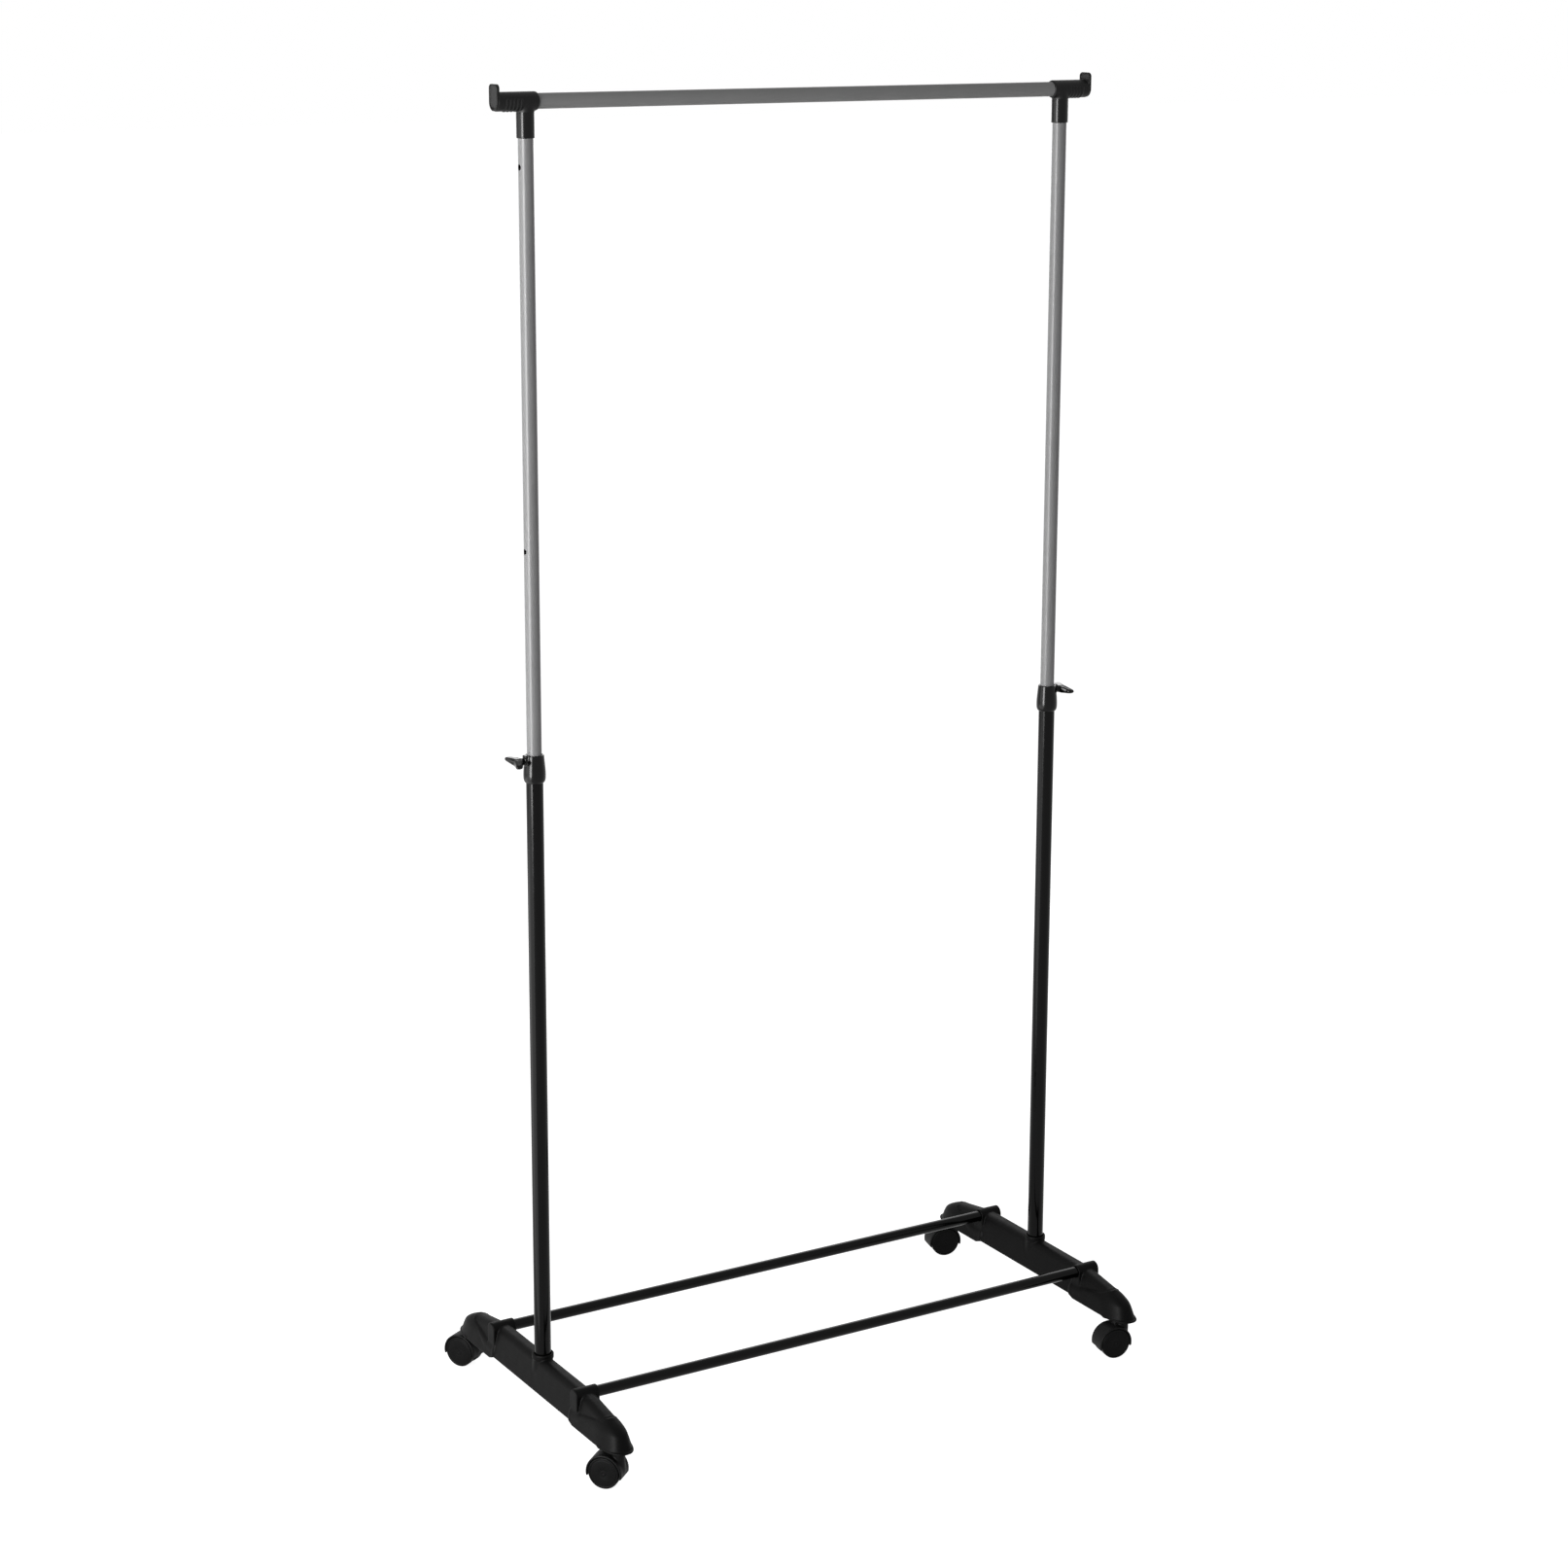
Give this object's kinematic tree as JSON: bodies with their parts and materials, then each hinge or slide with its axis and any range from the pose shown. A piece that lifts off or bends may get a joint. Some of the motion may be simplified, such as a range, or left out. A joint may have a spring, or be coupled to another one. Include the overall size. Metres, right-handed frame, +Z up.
{
  "type": "garment rail",
  "caption": "Free-standing garment rail with a straight hanging tube on telescopic poles, winged height clamps, moulded feet, base rails and twin-wheel swivel casters.",
  "frame": {"origin": "on the floor, midway between the axes of the two poles", "axes": "+X along the hanging rail, +Z up, +Y from the front foot ends to the rear ones"},
  "size_m": [0.876, 0.4828, 1.739],
  "materials": {
    "rail_grey": "satin mid grey paint",
    "pole_silver": "silver grey paint",
    "tube_black": "gloss black paint",
    "tee_black": "semi-gloss black",
    "clamp_black": "semi-gloss black",
    "bush_black": "moulded",
    "plug_grey": "moulded",
    "foot_charcoal": "fine textured charcoal",
    "caster_black": "moulded black",
    "wheel_black": "moulded black",
    "steel": "zinc plated",
    "insert_brass": "turned"
  },
  "bodies": {
    "base": {"foot_left": "foot_charcoal", "foot_right": "foot_charcoal", "base_rail_front": "tube_black", "base_rail_rear": "tube_black", "lower_pole_left": "tube_black", "lower_pole_right": "tube_black", "height_clamp_left": "clamp_black", "height_clamp_right": "clamp_black", "clamp_inserts": "insert_brass", "pole_plugs": "plug_grey", "pole_bolts": "steel", "pole_washers": "steel", "rail_screws": "steel", "stem_sleeves": "steel"},
    "upper_frame": {"top_rail": "rail_grey", "tee_left": "tee_black", "tee_right": "tee_black", "upper_pole_left": "pole_silver", "upper_pole_right": "pole_silver", "glide_bush_left": "bush_black", "glide_bush_right": "bush_black"},
    "screw_left": {"clamp_stud_left": "steel"},
    "knob_left": {"wing_knob_left": "clamp_black"},
    "screw_right": {"clamp_stud_right": "steel"},
    "knob_right": {"wing_knob_right": "clamp_black"},
    "caster_front_left": {"caster_hood_front_left": "caster_black", "caster_stem_front_left": "steel", "caster_axle_front_left": "steel"},
    "wheel_front_left_a": {"wheel_front_left_a": "wheel_black"},
    "wheel_front_left_b": {"wheel_front_left_b": "wheel_black"},
    "caster_rear_left": {"caster_hood_rear_left": "caster_black", "caster_stem_rear_left": "steel", "caster_axle_rear_left": "steel"},
    "wheel_rear_left_a": {"wheel_rear_left_a": "wheel_black"},
    "wheel_rear_left_b": {"wheel_rear_left_b": "wheel_black"},
    "caster_front_right": {"caster_hood_front_right": "caster_black", "caster_stem_front_right": "steel", "caster_axle_front_right": "steel"},
    "wheel_front_right_a": {"wheel_front_right_a": "wheel_black"},
    "wheel_front_right_b": {"wheel_front_right_b": "wheel_black"},
    "caster_rear_right": {"caster_hood_rear_right": "caster_black", "caster_stem_rear_right": "steel", "caster_axle_rear_right": "steel"},
    "wheel_rear_right_a": {"wheel_rear_right_a": "wheel_black"},
    "wheel_rear_right_b": {"wheel_rear_right_b": "wheel_black"}
  },
  "joints": [
    {"name": "height_slide", "type": "slide", "parent": "base", "child": "upper_frame", "axis": [0, 0, 1], "range_m": [-0.738, 0]},
    {"name": "screw_slide_left", "type": "slide", "parent": "base", "child": "screw_left", "axis": [-1, 0, 0], "range_m": [0, 0.004]},
    {"name": "knob_turn_left", "type": "hinge", "parent": "screw_left", "child": "knob_left", "pos_m": [-0.415, 0, 0.9015], "axis": [-1, 0, 0], "range_deg": [0, 1800]},
    {"name": "screw_slide_right", "type": "slide", "parent": "base", "child": "screw_right", "axis": [1, 0, 0], "range_m": [0, 0.004]},
    {"name": "knob_turn_right", "type": "hinge", "parent": "screw_right", "child": "knob_right", "pos_m": [0.415, 0, 0.9015], "axis": [1, 0, 0], "range_deg": [0, 1800]},
    {"name": "swivel_front_left", "type": "hinge", "parent": "base", "child": "caster_front_left", "pos_m": [-0.395, -0.21, 0.05], "axis": [0, 0, 1], "continuous": true},
    {"name": "spin_front_left_a", "type": "hinge", "parent": "caster_front_left", "child": "wheel_front_left_a", "pos_m": [-0.40529, -0.19774, 0.021], "axis": [-0.766, -0.6428, 0], "continuous": true},
    {"name": "spin_front_left_b", "type": "hinge", "parent": "caster_front_left", "child": "wheel_front_left_b", "pos_m": [-0.40529, -0.19774, 0.021], "axis": [-0.766, -0.6428, 0], "continuous": true},
    {"name": "swivel_rear_left", "type": "hinge", "parent": "base", "child": "caster_rear_left", "pos_m": [-0.395, 0.21, 0.05], "axis": [0, 0, 1], "continuous": true},
    {"name": "spin_rear_left_a", "type": "hinge", "parent": "caster_rear_left", "child": "wheel_rear_left_a", "pos_m": [-0.403, 0.22386, 0.021], "axis": [-0.866, -0.5, 0], "continuous": true},
    {"name": "spin_rear_left_b", "type": "hinge", "parent": "caster_rear_left", "child": "wheel_rear_left_b", "pos_m": [-0.403, 0.22386, 0.021], "axis": [-0.866, -0.5, 0], "continuous": true},
    {"name": "swivel_front_right", "type": "hinge", "parent": "base", "child": "caster_front_right", "pos_m": [0.395, -0.21, 0.05], "axis": [0, 0, 1], "continuous": true},
    {"name": "spin_front_right_a", "type": "hinge", "parent": "caster_front_right", "child": "wheel_front_right_a", "pos_m": [0.3792, -0.2075, 0.021], "axis": [-0.1564, -0.9877, 0], "continuous": true},
    {"name": "spin_front_right_b", "type": "hinge", "parent": "caster_front_right", "child": "wheel_front_right_b", "pos_m": [0.3792, -0.2075, 0.021], "axis": [-0.1564, -0.9877, 0], "continuous": true},
    {"name": "swivel_rear_right", "type": "hinge", "parent": "base", "child": "caster_rear_right", "pos_m": [0.395, 0.21, 0.05], "axis": [0, 0, 1], "continuous": true},
    {"name": "spin_rear_right_a", "type": "hinge", "parent": "caster_rear_right", "child": "wheel_rear_right_a", "pos_m": [0.37948, 0.21387, 0.021], "axis": [-0.2419, -0.9703, 0], "continuous": true},
    {"name": "spin_rear_right_b", "type": "hinge", "parent": "caster_rear_right", "child": "wheel_rear_right_b", "pos_m": [0.37948, 0.21387, 0.021], "axis": [-0.2419, -0.9703, 0], "continuous": true}
  ],
  "couplings": [
    {"joint": "screw_slide_left", "follows": "knob_turn_left", "m_per_rad": 0.00012732},
    {"joint": "screw_slide_right", "follows": "knob_turn_right", "m_per_rad": 0.00012732}
  ]
}
